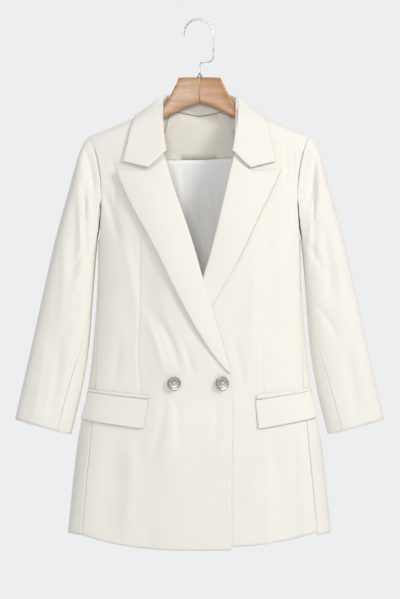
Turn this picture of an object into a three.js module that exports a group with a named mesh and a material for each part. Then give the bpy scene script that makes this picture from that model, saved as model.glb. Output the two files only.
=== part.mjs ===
// A double breasted blazer hanging on a wooden hanger, in millimetres, +Z up.
// The wearer's right is at -X, the front is at -Y, and the origin is the inside top of the hook.
import * as THREE from 'three';

// Walls and gaps
const CLOTH = 1.5;        // shell cloth with its fusing
const FACING = 1.1;       // lapel, collar and pocket cloth
const LINING = 1.0;
const SEAM_GAP = 0.4;     // between pieces that are sewn edge to edge
const LAY_GAP = 0.7;      // between a piece and the panel that it lies on

// Shoulders and neck
const NECK_X = 72;        // neck end of the shoulder seam
const NECK_Z = -153;
const SHOULDER_X = 191.6; // sleeve end of the shoulder seam
const SHOULDER_SLOPE = 0.43;
const NECK_ROUND = 24;    // rounds the shoulder line off over the neck opening
const CHEST_DROP = 260;   // how far down the chest reaches its full depth
const SHOULDER_ROLL = 18; // how far down the cloth rounds over the hanger
const SHOULDER_DEPTH = 17;
const UNDERARM_Z = -391;
const HEM_Z = -920;
const LAP = 56;           // the fronts pass the centre by this much
const BREAK_Z = -617;     // where both lapels start to turn
const FLATNESS = 0.75;    // 1 makes an oval section, less makes flatter faces and rounder sides

// Fitted tables, one row for each level
const BODY = [
  // level z, half width, front depth, back depth
  { z: -153, half: 212, front: 40, back: 34 },
  { z: -203, half: 210, front: 46, back: 40 },
  { z: -265, half: 199, front: 54, back: 46 },
  { z: -309, half: 192, front: 59, back: 50 },
  { z: -345, half: 185, front: 61, back: 52 },
  { z: -391, half: 177.5, front: 62, back: 52 },
  { z: -450, half: 177.5, front: 61, back: 50 },
  { z: -521, half: 182, front: 57, back: 47 },
  { z: -637, half: 194.5, front: 56, back: 50 },
  { z: -725, half: 213.5, front: 58, back: 55 },
  { z: -881, half: 231, front: 53, back: 51 },
  { z: -925, half: 236, front: 52, back: 50 },
];
const ARMHOLE = [
  // front view of the armhole seam, from the shoulder to the side panel
  { z: -203.4, x: 191.6 },
  { z: -218, x: 184.6 },
  { z: -234, x: 179.4 },
  { z: -265, x: 172.9 },
  { z: -309, x: 169.6 },
  { z: -346, x: 171.7 },
  { z: -361, x: 173.4 },
  { z: -391, x: 177.5 },
];
const SIDE_SEAM = [
  // side panel seam, on the front and on the back
  { z: -360, x: 173 },
  { z: -381, x: 174.4 },
  { z: -450, x: 175.6 },
  { z: -521, x: 178 },
  { z: -638, x: 180.5 },
  { z: -705, x: 186.5 },
  { z: -882, x: 203.4 },
  { z: -930, x: 208 },
];
const ROLL_UPPER = [
  // front edge of the upper front: neckline, roll line and overlap
  { z: -153, x: -72 },
  { z: -190, x: -68.5 },
  { z: -236, x: -59.9 },
  { z: -287, x: -45.9 },
  { z: -381, x: -13.7 },
  { z: -474, x: 12.6 },
  { z: -550, x: 35.9 },
  { z: -617, x: 54.3 },
  { z: -631, x: 56 },
  { z: -925, x: 56 },
];
const ROLL_LOWER = [
  { z: -153, x: 72 },
  { z: -190, x: 66.5 },
  { z: -221, x: 63.4 },
  { z: -253, x: 54.6 },
  { z: -326, x: 38.3 },
  { z: -433, x: 10.9 },
  { z: -617, x: -54 },
  { z: -631, x: -56 },
  { z: -925, x: -56 },
];
const EDGE_UPPER = [
  // outer edge of the upper lapel, from its tip down
  { z: -263.6, x: -144.9 },
  { z: -312, x: -124.6 },
  { z: -352, x: -102.4 },
  { z: -392, x: -80 },
  { z: -438, x: -57.6 },
  { z: -518, x: -16.6 },
  { z: -585, x: 24.2 },
  { z: -611, x: 47.5 },
];
const EDGE_LOWER = [
  { z: -263.6, x: 140.9 },
  { z: -298, x: 125.8 },
  { z: -348, x: 100.6 },
  { z: -413, x: 70.9 },
  { z: -501, x: 20.8 },
  { z: -611, x: -47.5 },
];

// The largest folds of the fronts, back and sleeves: a line, its half width and its depth
const FOLDS_RIGHT = [
  { x1: -78, z1: -515, x2: -58, z2: -604, half: 13, deep: -3 },
  { x1: -100, z1: -521, x2: -62, z2: -622, half: 15, deep: 3 },
  { x1: -55, z1: -652, x2: -48, z2: -800, half: 24, deep: 3 },
  { x1: -144, z1: -722, x2: -153, z2: -915, half: 22, deep: -4 },
  { x1: -158, z1: -241, x2: -151, z2: -363, half: 12, deep: -2 },
  { x1: -111, z1: -372, x2: -102, z2: -468, half: 13, deep: -2.5 },
];
const FOLDS_LEFT = [
  { x1: 123, z1: -293, x2: 109, z2: -538, half: 14, deep: -3.5 },
  { x1: 90, z1: -440, x2: 80, z2: -564, half: 13, deep: 3 },
  { x1: 70, z1: -665, x2: 70, z2: -871, half: 14, deep: -2.5 },
  { x1: 132, z1: -731, x2: 141, z2: -915, half: 22, deep: -4 },
  { x1: 176, z1: -731, x2: 187, z2: -897, half: 18, deep: 2.5 },
];
const FOLDS_BACK = [
  { x1: -92, z1: -470, x2: -120, z2: -915, half: 26, deep: -4 },
  { x1: 84, z1: -500, x2: 118, z2: -915, half: 28, deep: -4.5 },
  { x1: -120, z1: -230, x2: -60, z2: -330, half: 20, deep: -2 },
  { x1: 126, z1: -235, x2: 70, z2: -345, half: 20, deep: -2.5 },
];

function clamp(t) {
  return Math.min(1, Math.max(0, t));
}

function mix(a, b, t) {
  return a + (b - a) * t;
}

function smooth(from, to, value) {
  const t = clamp((value - from) / (to - from));
  return t * t * (3 - 2 * t);
}

// A smooth value from a table's column, by level from the top row down
function level(table, z, column) {
  const last = table.length - 1;
  let i = 0;
  while (i < last - 1 && z < table[i + 1].z) i += 1;
  const a = table[i];
  const b = table[i + 1];
  const before = table[Math.max(0, i - 1)];
  const after = table[Math.min(last, i + 2)];
  const span = b.z - a.z;
  const t = (z - a.z) / span;
  if (t < 0 || t > 1) return mix(a[column], b[column], t);
  const slopeA = (b[column] - before[column]) / (b.z - before.z) * span;
  const slopeB = (after[column] - a[column]) / (after.z - a.z) * span;
  const t2 = t * t;
  const t3 = t2 * t;
  const keepA = (2 * t3 - 3 * t2 + 1) * a[column] + (t3 - 2 * t2 + t) * slopeA;
  return keepA + (3 * t2 - 2 * t3) * b[column] + (t3 - t2) * slopeB;
}

function shoulderZ(x) {
  return NECK_Z - SHOULDER_SLOPE * (Math.hypot(x, NECK_ROUND) - Math.hypot(NECK_X, NECK_ROUND));
}

function foldAt(folds, x, z) {
  let sum = 0;
  for (const fold of folds) {
    const dx = fold.x2 - fold.x1;
    const dz = fold.z2 - fold.z1;
    const size = Math.hypot(dx, dz);
    const along = ((x - fold.x1) * dx + (z - fold.z1) * dz) / (size * size);
    const across = ((x - fold.x1) * dz - (z - fold.z1) * dx) / size;
    const ends = smooth(-0.12, 0.25, along) * (1 - smooth(0.75, 1.12, along));
    sum += fold.deep * ends * Math.exp(-((across / fold.half) ** 2));
  }
  return sum;
}

// How far the shell stands from the middle plane, on the front or on the back
function shellDepth(x, z, column) {
  const drop = Math.max(0, shoulderZ(x) - z);
  const half = level(BODY, z, 'half');
  const round = Math.sqrt(1 - (1 - Math.min(1, drop / SHOULDER_ROLL)) ** 2);
  const full = level(BODY, z, column) - SHOULDER_DEPTH;
  const depth = SHOULDER_DEPTH * round + full * (1 - (1 - clamp(drop / CHEST_DROP)) ** 2);
  const side = clamp(1 - (x / half) ** 2) ** (FLATNESS / 2);
  return SEAM_GAP / 2 + depth * side;
}

// The upper front is lifted over the lower one and over its lapel
function lapLift(x, z) {
  const overLap = smooth(-100, -60, x) * smooth(-370, -425, z);
  const overLapel = smooth(-88, -54, x) * smooth(-370, -430, z) * (1 - smooth(-618, -650, z));
  return 3.2 * overLap + 4 * overLapel;
}

function foldFade(x, z) {
  const half = level(BODY, z, 'half');
  return smooth(0, 26, half - Math.abs(x)) * smooth(20, 60, shoulderZ(x) - z);
}

function frontRightOut(x, z) {
  return shellDepth(x, z, 'front') + lapLift(x, z) + foldAt(FOLDS_RIGHT, x, z) * foldFade(x, z);
}

function frontLeftOut(x, z) {
  return shellDepth(x, z, 'front') + foldAt(FOLDS_LEFT, x, z) * foldFade(x, z);
}

function backOut(x, z) {
  return shellDepth(x, z, 'back') + foldAt(FOLDS_BACK, x, z) * foldFade(x, z);
}

// A closed mesh from grid rows of outer points and inner points
function wallGeometry(outer, inner, closedRound) {
  const rows = outer.length;
  const columns = outer[0].length;
  const positions = [];
  for (const side of [outer, inner]) {
    for (const row of side) {
      for (const p of row) positions.push(p.x, p.y, p.z);
    }
  }
  const count = rows * columns;
  const at = (i, j) => i * columns + (j % columns);
  const steps = closedRound ? columns : columns - 1;
  const index = [];
  const quad = (a, b, c, d) => index.push(a, b, c, a, c, d);
  for (let i = 0; i < rows - 1; i += 1) {
    for (let j = 0; j < steps; j += 1) {
      quad(at(i, j), at(i, j + 1), at(i + 1, j + 1), at(i + 1, j));
      quad(count + at(i, j), count + at(i + 1, j), count + at(i + 1, j + 1), count + at(i, j + 1));
    }
  }
  for (let j = 0; j < steps; j += 1) {
    quad(at(0, j), count + at(0, j), count + at(0, j + 1), at(0, j + 1));
    quad(at(rows - 1, j + 1), count + at(rows - 1, j + 1), count + at(rows - 1, j), at(rows - 1, j));
  }
  if (!closedRound) {
    for (let i = 0; i < rows - 1; i += 1) {
      quad(at(i + 1, 0), count + at(i + 1, 0), count + at(i, 0), at(i, 0));
      quad(at(i, steps), count + at(i, steps), count + at(i + 1, steps), at(i + 1, steps));
    }
  }
  const geometry = new THREE.BufferGeometry();
  geometry.setAttribute('position', new THREE.Float32BufferAttribute(positions, 3));
  geometry.setIndex(signedVolume(positions, index) < 0 ? flipped(index) : index);
  geometry.computeVertexNormals();
  return geometry;
}

function signedVolume(positions, index) {
  const a = new THREE.Vector3();
  const b = new THREE.Vector3();
  const c = new THREE.Vector3();
  let sum = 0;
  for (let i = 0; i < index.length; i += 3) {
    a.fromArray(positions, index[i] * 3);
    b.fromArray(positions, index[i + 1] * 3);
    c.fromArray(positions, index[i + 2] * 3);
    sum += a.dot(b.cross(c));
  }
  return sum;
}

function flipped(index) {
  const turned = [];
  for (let i = 0; i < index.length; i += 3) turned.push(index[i], index[i + 2], index[i + 1]);
  return turned;
}

// A cloth wall whose outer face is pointAt(u, v); inward is roughly the way its thickness goes
function clothWall(columns, rows, thickness, inward, pointAt) {
  const turned = surfaceNormal(pointAt, 0.5, 0.5).dot(inward) < 0 ? -1 : 1;
  const outer = [];
  const inner = [];
  for (let i = 0; i <= rows; i += 1) {
    const outerRow = [];
    const innerRow = [];
    for (let j = 0; j <= columns; j += 1) {
      const u = j / columns;
      const v = i / rows;
      const p = pointAt(u, v);
      const normal = surfaceNormal(pointAt, u, v).multiplyScalar(thickness * turned);
      outerRow.push(p);
      innerRow.push(p.clone().add(normal));
    }
    outer.push(outerRow);
    inner.push(innerRow);
  }
  return wallGeometry(outer, inner, false);
}

function surfaceNormal(pointAt, u, v) {
  const step = 0.004;
  const alongU = pointAt(Math.min(1, u + step), v).sub(pointAt(Math.max(0, u - step), v));
  const alongV = pointAt(u, Math.min(1, v + step)).sub(pointAt(u, Math.max(0, v - step)));
  return alongU.cross(alongV).normalize();
}

// Levels of a shell row: close together where the cloth rounds over the shoulder
const ROLL_SHARE = 0.16;
function dropAt(v, total) {
  if (v < ROLL_SHARE) return SHOULDER_ROLL * (1 - Math.cos(v / ROLL_SHARE * Math.PI / 2));
  return mix(SHOULDER_ROLL, total, ((v - ROLL_SHARE) / (1 - ROLL_SHARE)) ** 1.06);
}

function toward(x, y, z) {
  return new THREE.Vector3(x, y, z);
}

function hemZ(x) {
  return HEM_Z + 34 * (Math.abs(x) / 232) ** 2.7;
}

function sideX(z) {
  return z > -372 ? level(ARMHOLE, Math.min(z, ARMHOLE[0].z), 'x') : level(SIDE_SEAM, z, 'x');
}

// One shell panel between an inner edge (neck, roll line, centre) and its armhole and side seam
function shellPanel(columns, rows, side, edgeX, outAt, facing, hemRise) {
  const edgeTopZ = shoulderZ(edgeX(NECK_Z));
  const sideTop = shoulderZ(sideX(0) - SEAM_GAP / 2);
  return clothWall(columns, rows, CLOTH, toward(0, -facing, 0), (u, v) => {
    const hemInner = hemZ(LAP) + hemRise;
    const hemOuter = hemZ(sideX(-885)) + hemRise;
    const zInner = edgeTopZ - dropAt(v, edgeTopZ - hemInner);
    const zOuter = sideTop - dropAt(v, sideTop - hemOuter);
    const half = level(BODY, zOuter, 'half') + 1;
    const xInner = edgeX(zInner);
    const xOuter = side * (sideX(zOuter) - SEAM_GAP / 2);
    const angle = mix(Math.asin(xInner / half), Math.asin(xOuter / half), u);
    const x = half * Math.sin(angle);
    const t = (x - xInner) / (xOuter - xInner);
    const bend = (hemZ(x) + hemRise - mix(hemInner, hemOuter, t)) * smooth(0.55, 1, v);
    const z = mix(zInner, zOuter, t) + bend;
    return new THREE.Vector3(x, facing * outAt(x, z), z);
  });
}

const FRONT = -1;
const BACK = 1;
const RIGHT = -1;
const LEFT = 1;
const ROLL_BACK = 3.9;    // the front's own edge lies this far inside the turned lapel

// The turned lapel's roll line stands clear of the front's edge; below the break the edge is plain
function rollInset(z) {
  return ROLL_BACK * smooth(-632, -617, z) * (1 - smooth(-236, -222, z));
}

function upperEdgeX(z) {
  return level(ROLL_UPPER, z, 'x') - rollInset(z) - 0.3;
}

function lowerEdgeX(z) {
  return level(ROLL_LOWER, z, 'x') + rollInset(z) + 0.3;
}

function backNeckZ(x) {
  return mix(-167, NECK_Z, smooth(0, NECK_X, Math.abs(x)));
}

function backPanel(side) {
  return clothWall(10, 17, CLOTH, toward(0, -1, 0), (u, v) => {
    const width = SHOULDER_X;
    const topZ = (x) => (Math.abs(x) < NECK_X ? backNeckZ(x) : shoulderZ(x));
    const sideTop = shoulderZ(width);
    const hemOuter = hemZ(sideX(-885));
    const zOuter = sideTop - dropAt(v, sideTop - hemOuter);
    const half = level(BODY, zOuter, 'half') + 1;
    const xOuter = sideX(zOuter) - SEAM_GAP / 2;
    const angle = mix(Math.asin(SEAM_GAP / 2 / half), Math.asin(xOuter / half), u);
    const x = side * half * Math.sin(angle);
    const top = topZ(x);
    const z = top - dropAt(v, top - hemZ(x));
    return new THREE.Vector3(x, backOut(x, z), z);
  });
}

// Side panel: it goes round the side from the front seam to the back seam
function sidePanel(side) {
  return clothWall(4, 12, CLOTH, toward(-side, 0, 0), (u, v) => {
    const across = mix(-1, 1, u);
    const top = UNDERARM_Z + 8 * across * across;
    const bottom = hemZ(sideX(-885)) + 1.5 * (1 - across * across);
    const z = mix(top, bottom, v);
    const half = level(BODY, z, 'half');
    const column = across < 0 ? 'front' : 'back';
    const seamX = sideX(z) + SEAM_GAP;
    const seamAngle = Math.asin(clamp(seamX / half));
    const angle = mix(Math.PI / 2, seamAngle, Math.abs(across));
    const x = side * half * Math.sin(angle);
    return new THREE.Vector3(x, Math.sign(across) * shellDepth(x, z, column), z);
  });
}

// Lapels: the facing starts behind the front, turns round its edge at the roll line and lies on it
const LAPEL_RADIUS = 3.2;
const LAPEL_CENTRE = -CLOTH / 2 + 0.1;
const LAPEL_COLUMNS = { inside: 1, turn: 4, face: 6 };
const GORGE_Z = -240;
const NOTCH = { x: 88.5, z: -267 };

function lapelPanel(side, roll, edge, outAt, standoff) {
  const total = LAPEL_COLUMNS.inside + LAPEL_COLUMNS.turn + LAPEL_COLUMNS.face;
  const turnFrom = LAPEL_COLUMNS.inside / total;
  const faceFrom = (LAPEL_COLUMNS.inside + LAPEL_COLUMNS.turn) / total;
  const tipZ = edge[0].z;
  const notchShare = (NOTCH.x - 61) / (Math.abs(edge[0].x) - 61);
  return clothWall(total, 12, FACING, toward(0, 1, 0), (u, v) => {
    const rollZ = mix(GORGE_Z, BREAK_Z + 2, v);
    const edgeZ = mix(tipZ, BREAK_Z + 7, v);
    const rollX = level(roll, rollZ, 'x');
    const edgeX = level(edge, edgeZ, 'x');
    const reach = Math.hypot(edgeX - rollX, edgeZ - rollZ);
    let across = 0;
    let lift = 0;
    if (u < turnFrom) {
      across = mix(7, LAPEL_RADIUS, u / turnFrom);
      lift = LAPEL_CENTRE - LAPEL_RADIUS;
    } else if (u < faceFrom) {
      const angle = mix(-90, 90, (u - turnFrom) / (faceFrom - turnFrom)) * Math.PI / 180;
      across = LAPEL_RADIUS * (1 - Math.cos(angle));
      lift = LAPEL_CENTRE + LAPEL_RADIUS * Math.sin(angle);
    } else {
      const s = (u - faceFrom) / (1 - faceFrom);
      across = mix(LAPEL_RADIUS, Math.max(reach, LAPEL_RADIUS + 3), s);
      lift = LAPEL_CENTRE + LAPEL_RADIUS + standoff(s, v, mix(rollZ, edgeZ, s));
    }
    const share = across / Math.max(reach, LAPEL_RADIUS + 3);
    const dip = share < notchShare ? share / notchShare : (1 - share) / (1 - notchShare);
    const notchDip = NOTCH.z - mix(GORGE_Z, tipZ, notchShare);
    const x = mix(rollX, edgeX, share);
    const z = mix(rollZ, edgeZ, share) + notchDip * Math.max(0, dip) * (1 - v) ** 5;
    return new THREE.Vector3(x, -(outAt(x, z) + lift), z);
  });
}

function upperStandoff(s, v) {
  return (5 * s ** 1.4 + 2.2 * Math.sin(Math.PI * s)) * smooth(1, 0.72, v);
}

function lowerStandoff(s, v, z) {
  return (5 * s ** 1.4 + 2.2 * Math.sin(Math.PI * s)) * smooth(-455, -385, z) + 0.2;
}

// Collar: neckline, fold and outer edge at stations from the centre back (0) to the gorge (1)
const COLLAR = [
  { along: 0, ax: 0, az: -165.8, fx: 0, fy: 22.5, fz: -127.5, ex: 0, ey: 30, ez: -196.5 },
  { along: 0.22, ax: 36, az: -158.9, fx: 33, fy: 18.5, fz: -128, ex: 46, ey: 27, ez: -193 },
  { along: 0.4, ax: 61, az: -152.7, fx: 55, fy: 9, fz: -130.5, ex: 86, ey: 19, ez: -182 },
  { along: 0.52, ax: 70, az: -151.6, fx: 63, fy: -1, fz: -133, ex: 110, ey: 2, ez: -166 },
  { along: 0.62, ax: 68.2, az: -161, fx: 64.5, fz: -146, ex: 117, ey: -17, ez: -180 },
  { along: 0.78, ax: 64.6, az: -189, fx: 62, fz: -182, ex: 123.5, ey: -22, ez: -210 },
  { along: 0.9, ax: 61, az: -214, fx: 60, fz: -211, ex: 128.5, ey: -23, ez: -232 },
  { along: 1, ax: 56.5, az: -234, fx: 56, fz: -232, ex: 132.5, ey: -24, ez: -249 },
];
const COLLAR_COLUMNS = { stand: 2, turn: 4, fall: 5 };
const COLLAR_RADIUS = 2.6;
const COLLAR_CLEAR = 4.4;  // outer face of the fall over the shell

// Pushes a point of the collar's fall out until it clears the shell
function clearOfShell(p, gap) {
  const drop = shoulderZ(p.x) - p.z;
  if (drop < SHOULDER_ROLL) {
    const rise = (SHOULDER_ROLL - drop) / SHOULDER_ROLL;
    const radius = Math.hypot(p.y / SHOULDER_DEPTH, rise);
    const push = Math.max(1, (1 + gap / SHOULDER_DEPTH) / radius);
    p.y *= push;
    p.z = shoulderZ(p.x) - SHOULDER_ROLL + SHOULDER_ROLL * rise * push;
    return p;
  }
  if (p.y < 0) p.y = Math.min(p.y, -(frontLeftOut(p.x, p.z) + gap));
  else p.y = Math.max(p.y, backOut(p.x, p.z) + gap);
  return p;
}

// The stand starts on the shell's own neck edge, just above it
function neckSeat(x, z, station) {
  const front = shellDepth(x, z, 'front') - CLOTH + 0.2;
  const back = shellDepth(x, z, 'back') - CLOTH + 0.2;
  const turn = smooth(0.46, 0.58, station);
  return toward(x, mix(back, -front, turn), z);
}

function collarPoint(side, station, u) {
  const value = (name) => collarValue(station, name);
  const neck = neckSeat(value('ax'), value('az'), station);
  const fold = toward(value('fx'), value('fy'), value('fz'));
  const edge = toward(value('ex'), value('ey'), value('ez'));
  const up = fold.clone().sub(neck.clone().add(edge).multiplyScalar(0.5)).normalize();
  const out = edge.clone().sub(neck);
  out.sub(up.clone().multiplyScalar(out.dot(up))).normalize();
  const centre = fold.clone().sub(up.clone().multiplyScalar(COLLAR_RADIUS));
  const total = COLLAR_COLUMNS.stand + COLLAR_COLUMNS.turn + COLLAR_COLUMNS.fall;
  const turnFrom = COLLAR_COLUMNS.stand / total;
  const fallFrom = (COLLAR_COLUMNS.stand + COLLAR_COLUMNS.turn) / total;
  const placed = (p) => toward(side * p.x, p.y, p.z);
  if (u < turnFrom) {
    const top = centre.clone().sub(out.clone().multiplyScalar(COLLAR_RADIUS));
    return placed(neck.lerp(top, u / turnFrom));
  }
  if (u < fallFrom) {
    const angle = (u - turnFrom) / (fallFrom - turnFrom) * Math.PI;
    const turned = out.multiplyScalar(-COLLAR_RADIUS * Math.cos(angle));
    return placed(centre.add(turned).add(up.multiplyScalar(COLLAR_RADIUS * Math.sin(angle))));
  }
  const s = (u - fallFrom) / (1 - fallFrom);
  const top = centre.add(out.multiplyScalar(COLLAR_RADIUS));
  const p = top.lerp(edge, s);
  const share = (NOTCH.x - 62) / (COLLAR[COLLAR.length - 1].ex - 62);
  const dip = s < share ? s / share : (1 - s) / (1 - share);
  const kink = NOTCH.z + 2.5 - mix(-237, -249, share);
  p.z += kink * dip * smooth(0.86, 1, station);
  return placed(clearOfShell(p, mix(COLLAR_CLEAR + 1, COLLAR_CLEAR + 2 * smooth(0.5, 1, station), s)));
}

const COLLAR_LEVELS = COLLAR.map((row) => ({
  ...row,
  z: -row.along,
  fy: row.fy ?? -(shellDepth(row.fx, row.fz, 'front') + 3.2),
}));

function collarValue(station, column) {
  return level(COLLAR_LEVELS, -station, column);
}

function collarPanel() {
  return clothWall(11, 22, FACING, toward(0, 0.01, -1), (u, v) => {
    const along = mix(-1, 1, v);
    return collarPoint(along < 0 ? RIGHT : LEFT, Math.abs(along), u);
  });
}

// Inside of the back: the neck facing and below it the lining with its centre pleat
const FACING_Z = -241;
function insideBack(columns, rows, thickness, topAt, bottomAt, widthAt, gap) {
  return clothWall(columns, rows, thickness, toward(0, -1, 0), (u, v) => {
    const share = mix(-1, 1, u);
    const rough = mix(topAt(0), bottomAt(0), v);
    const x = widthAt(rough) * share;
    const z = mix(topAt(x), bottomAt(x), v);
    return new THREE.Vector3(x, shellDepth(x, z, 'back') - CLOTH - gap - backTrough(x, z), z);
  });
}

function backTrough(x, z) {
  return Math.max(0, -foldAt(FOLDS_BACK, x, z) * foldFade(x, z));
}

function facingEnd(x) {
  return FACING_Z + 0.00045 * x * x + 2 * x / 64;
}

function neckFacing() {
  const top = (x) => backNeckZ(x) - 1.2;
  return insideBack(10, 3, LINING, top, facingEnd, (z) => mix(51, 72, smooth(-168, -240, z)), 1.3);
}

function backLining() {
  const top = (x) => facingEnd(x) - 1;
  const bottom = (x) => hemZ(x) + 24;
  return insideBack(8, 9, LINING, top, bottom, (z) => mix(72, 150, smooth(-241, -420, z)), 2.4);
}

// Sleeves: rings between an outer and an inner edge, from the armhole to the cuff
const SLEEVE = [
  // along: share of the length; outer and inner edge in front view; half depths
  { along: 0, ox: 192.2, oz: -203.6, ix: 178.3, iz: -390.4, front: 26, back: 24 },
  { along: 0.03, ox: 199.5, oz: -206, ix: 178.9, iz: -396, front: 28, back: 26 },
  { along: 0.065, ox: 204.8, oz: -213, ix: 179.4, iz: -403, front: 30, back: 28 },
  { along: 0.12, ox: 211.8, oz: -234, ix: 180.6, iz: -417, front: 31, back: 29 },
  { along: 0.2, ox: 221, oz: -266, ix: 182.4, iz: -440, front: 31, back: 30 },
  { along: 0.32, ox: 234.2, oz: -316, ix: 184.8, iz: -473, front: 31, back: 30 },
  { along: 0.45, ox: 249.8, oz: -371, ix: 187.6, iz: -512, front: 30, back: 30 },
  { along: 0.62, ox: 268.5, oz: -452, ix: 192.8, iz: -577, front: 29, back: 30 },
  { along: 0.8, ox: 291, oz: -556, ix: 203.6, iz: -645, front: 27, back: 29 },
  { along: 1, ox: 322.9, oz: -697, ix: 222.5, iz: -724, front: 26, back: 28 },
];
const SLEEVE_LEVELS = SLEEVE.map((row) => ({ ...row, z: -row.along }));
const FOREARM_SEAM = [
  // angle of the forearm seam from the outer edge round the front, in degrees
  { z: 0, angle: 176 },
  { z: -0.35, angle: 168 },
  { z: -0.55, angle: 146 },
  { z: -0.8, angle: 124 },
  { z: -1, angle: 120 },
];
const HIND_SEAM_ANGLE = -52;
const SLEEVE_FOLDS_RIGHT = [
  // along and angle of both ends, half width in degrees, depth in mm
  { l1: 0.02, a1: 58, l2: 0.3, a2: 118, half: 15, deep: -5 },
  { l1: 0.22, a1: 60, l2: 0.66, a2: 78, half: 17, deep: -3.5 },
  { l1: 0.7, a1: 70, l2: 0.98, a2: 64, half: 17, deep: -3 },
  { l1: 0.1, a1: 150, l2: 0.24, a2: 112, half: 13, deep: -3 },
  { l1: 0.12, a1: 292, l2: 0.5, a2: 250, half: 17, deep: -4 },
  { l1: 0.55, a1: 285, l2: 0.9, a2: 275, half: 18, deep: -3.5 },
];
const SLEEVE_FOLDS_LEFT = [
  { l1: 0.03, a1: 62, l2: 0.33, a2: 124, half: 15, deep: -5.5 },
  { l1: 0.26, a1: 92, l2: 0.62, a2: 84, half: 17, deep: -3 },
  { l1: 0.68, a1: 84, l2: 0.97, a2: 78, half: 17, deep: -3 },
  { l1: 0.14, a1: 288, l2: 0.46, a2: 255, half: 17, deep: -4 },
  { l1: 0.6, a1: 268, l2: 0.92, a2: 280, half: 18, deep: -3 },
];

const HOLE_GAP = 1.7;      // between the armhole edge and the sleeve head

function sleeveFold(folds, along, angle) {
  let sum = 0;
  for (const fold of folds) {
    const t = (along - fold.l1) / (fold.l2 - fold.l1);
    const centre = mix(fold.a1, fold.a2, clamp(t));
    const ends = smooth(-0.15, 0.25, t) * (1 - smooth(0.75, 1.15, t));
    sum += fold.deep * ends * Math.exp(-(((angle - centre) / fold.half) ** 2));
  }
  return sum * smooth(0.01, 0.06, along);
}

function sleevePoint(side, folds, angle, along) {
  const share = (1 - Math.cos(angle)) / 2;
  const sine = Math.sin(angle);
  const column = sine >= 0 ? 'front' : 'back';
  const value = (name) => level(SLEEVE_LEVELS, -along, name);
  const x = mix(value('ox'), value('ix'), share);
  const z = mix(value('oz'), value('iz'), share);
  const y = -Math.sign(sine) * value(column) * Math.abs(sine) ** 0.86;
  const holeZ = mix(-203.6, -390.6, share);
  const holeX = level(ARMHOLE, holeZ, 'x') + HOLE_GAP;
  const holeY = -Math.sign(sine) * shellDepth(holeX - HOLE_GAP, holeZ, column);
  const open = smooth(0, 0.2, along);
  const p = new THREE.Vector3(mix(holeX, x, smooth(0, 0.09, along)), mix(holeY, y, open), z);
  const degrees = ((angle * 180 / Math.PI) + 360) % 360;
  const deep = sleeveFold(folds, along, degrees);
  p.y -= Math.sign(sine) * deep * Math.abs(sine);
  p.x += 0.35 * deep * Math.cos(angle);
  p.x *= side;
  return p;
}

function sleevePiece(side, folds, columns, fromAt, toAt) {
  const seam = 0.006;
  const middle = (fromAt(0.5) + toAt(0.5)) / 2;
  const inward = toward(-side * Math.cos(middle), Math.sin(middle), 0);
  return clothWall(columns, 16, CLOTH, inward, (u, v) => {
    const along = v ** 1.25;
    const angle = mix(fromAt(along) + seam, toAt(along) - seam, u);
    return sleevePoint(side, folds, angle, along);
  });
}

function radians(degrees) {
  return degrees * Math.PI / 180;
}

function forearmAngle(along) {
  return radians(level(FOREARM_SEAM, -along, 'angle'));
}

const hindAngle = () => radians(HIND_SEAM_ANGLE);
const hindAngleRound = () => radians(HIND_SEAM_ANGLE + 360);

// Pocket pieces, made from the front's own points and moved out
const POCKETS = {
  right: {
    welt: { x1: -197.4, z1: -643, x2: -85.2, z2: -653.5, x3: -86.2, z3: -659.5, x4: -198, z4: -648 },
    flap: { x1: -198.2, z1: -648.6, x2: -87, z2: -660.6, x3: -96, z3: -711, x4: -206, z4: -696 },
  },
  left: {
    welt: { x1: 199, z1: -641.6, x2: 98.6, z2: -652, x3: 97.4, z3: -660.6, x4: 199.4, z4: -646 },
    flap: { x1: 199.6, z1: -646.6, x2: 96.3, z2: -661.8, x3: 101.5, z3: -711, x4: 210, z4: -692 },
  },
};

// How far out the garment reaches at a point: the front, or the side panel past its seam
function pocketOut(outAt, x, z) {
  return Math.abs(x) < sideX(z) ? outAt(x, z) : shellDepth(x, z, 'front');
}

// A point of the front, moved out along its own normal
function movedOut(outAt, x, z, distance) {
  const step = 0.5;
  const slopeX = (pocketOut(outAt, x + step, z) - pocketOut(outAt, x - step, z)) / (2 * step);
  const slopeZ = (pocketOut(outAt, x, z + step) - pocketOut(outAt, x, z - step)) / (2 * step);
  const normal = toward(-slopeX, -1, -slopeZ).normalize().multiplyScalar(distance);
  return toward(x, -pocketOut(outAt, x, z), z).add(normal);
}

function pocketPiece(corners, columns, rows, outAt, standAt) {
  const { x1, z1, x2, z2, x3, z3, x4, z4 } = corners;
  return clothWall(columns, rows, FACING, toward(0, 1, 0), (u, v) => {
    const corner = 0.1 * Math.max(0, u - 0.9) * v;
    const limit = level(BODY, mix(z1, z4, v), 'half') - 4;
    const x = mix(mix(x1, x2, u), mix(x4, x3, u), v);
    const held = Math.sign(x) * Math.min(Math.abs(x), limit);
    const z = mix(mix(z1, z2, u), mix(z4, z3, u), v) + corner * 60;
    return movedOut(outAt, held, z, FACING + LAY_GAP + standAt(u, v));
  });
}

// Buttons: a dished metal setting with one large stone
const BUTTON_RADIUS = 12;
const BUTTON_Z = -631.8;
const BUTTONS = [
  { name: 'button_outer', x: -43.6 },
  { name: 'button_edge', x: 38.9 },
];
const STONE_RADIUS = 4.6;

function lathe(profile, segments) {
  const points = profile.map(([r, h]) => new THREE.Vector2(r, h));
  const geometry = new THREE.LatheGeometry(points, segments);
  geometry.rotateX(Math.PI);
  return geometry;
}

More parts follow.
